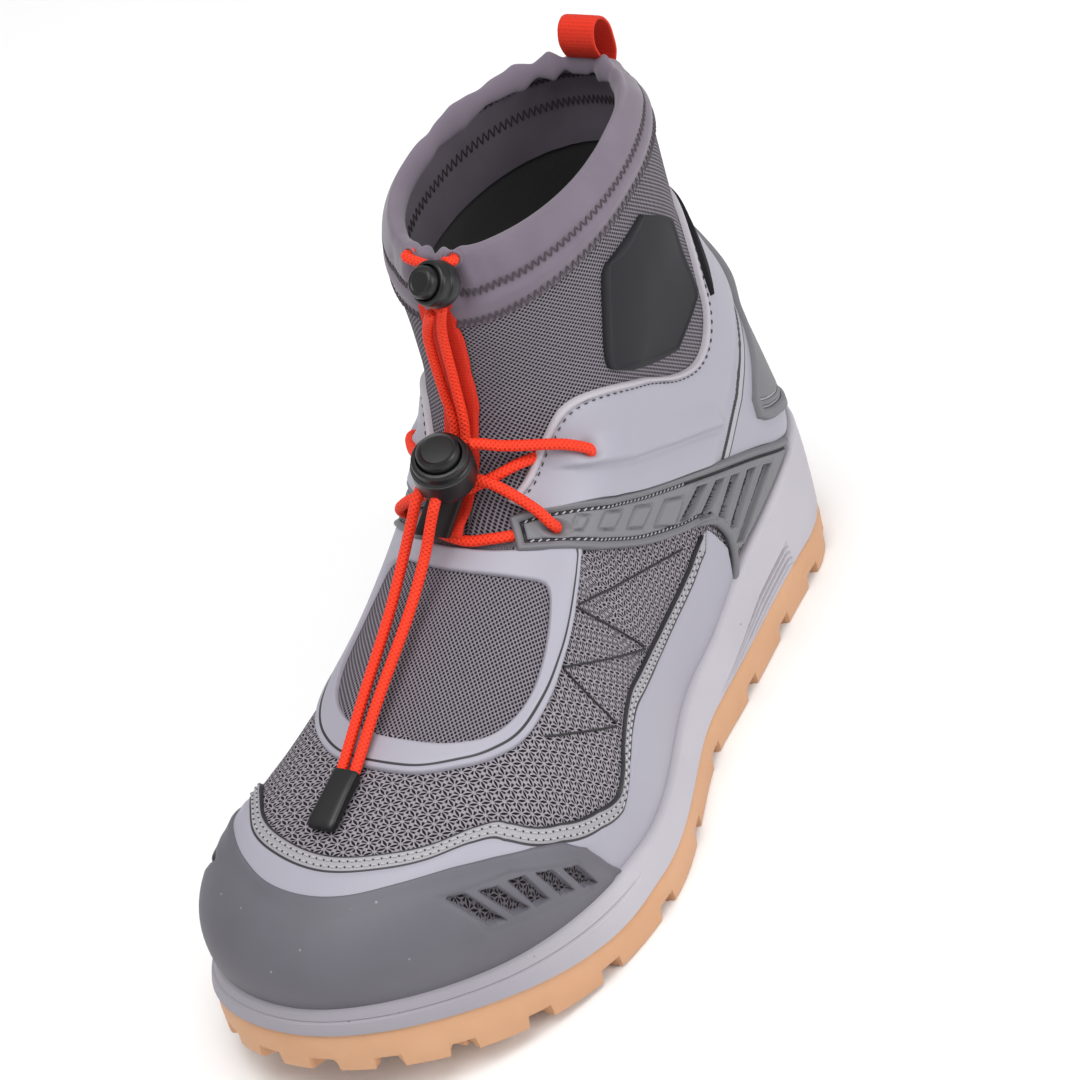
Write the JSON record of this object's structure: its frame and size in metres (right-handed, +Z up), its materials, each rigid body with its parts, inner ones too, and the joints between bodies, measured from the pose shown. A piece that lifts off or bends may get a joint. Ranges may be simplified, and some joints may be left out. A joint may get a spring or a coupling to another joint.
{
  "type": "wading shoe",
  "caption": "Ankle-high wading shoe for the left foot with a lugged sole, soft stretch cuff, rubber overlays, and lace and cuff cords held by spring locks.",
  "frame": {"origin": "on the floor under the middle of the sole's box", "axes": "+X towards the toe, +Y towards the outer side of a left shoe, +Z up"},
  "size_m": [0.31, 0.1208, 0.231],
  "materials": {
    "gum rubber": "matte",
    "pale foam": "matte",
    "stretch mesh": "knit",
    "jersey": "knit",
    "grey rubber": "matte",
    "pale film": "satin",
    "charcoal rubber": "matte",
    "black plastic": "satin",
    "red braid": "braided",
    "red webbing": "woven"
  },
  "bodies": {
    "shoe": {"outsole": "gum rubber", "midsole": "pale foam", "insole": "charcoal rubber", "upper": "stretch mesh", "cuff": "jersey", "toe_cap": "grey rubber", "side_panel": "pale film", "vamp_frame": "pale film", "ankle_panel_outer": "pale film", "ankle_panel_inner": "pale film", "wing_outer": "grey rubber", "wing_inner": "grey rubber", "heel_counter": "grey rubber", "badge": "charcoal rubber", "throat_tape": "red webbing", "pull_loop": "red webbing", "lace_bar": "red braid", "lace_cross": "red braid", "lace_rein_outer": "red braid", "lace_rein_inner": "red braid", "lace_tail_outer": "red braid", "lace_tail_inner": "red braid", "end_clip": "black plastic", "lace_lock_barrel": "black plastic", "keeper_tab": "black plastic", "cuff_cord_outer": "red braid", "cuff_cord_inner": "red braid", "cuff_cord_top_outer": "red braid", "cuff_cord_top_inner": "red braid", "cuff_lock_barrel": "black plastic"},
    "lace lock button": {"lace_lock_button": "black plastic"},
    "cuff lock button": {"cuff_lock_button": "black plastic"}
  },
  "joints": [
    {"name": "lace_lock_press", "type": "slide", "parent": "shoe", "child": "lace lock button", "axis": [-0.2799, -0.14, -0.9498], "range_m": [0, 0.003], "stiffness_N_per_m": 600, "springref_m": -0.002},
    {"name": "cuff_lock_press", "type": "slide", "parent": "shoe", "child": "cuff lock button", "axis": [-0.7447, 0.2599, -0.6147], "range_m": [0, 0.003], "stiffness_N_per_m": 600, "springref_m": -0.002}
  ]
}
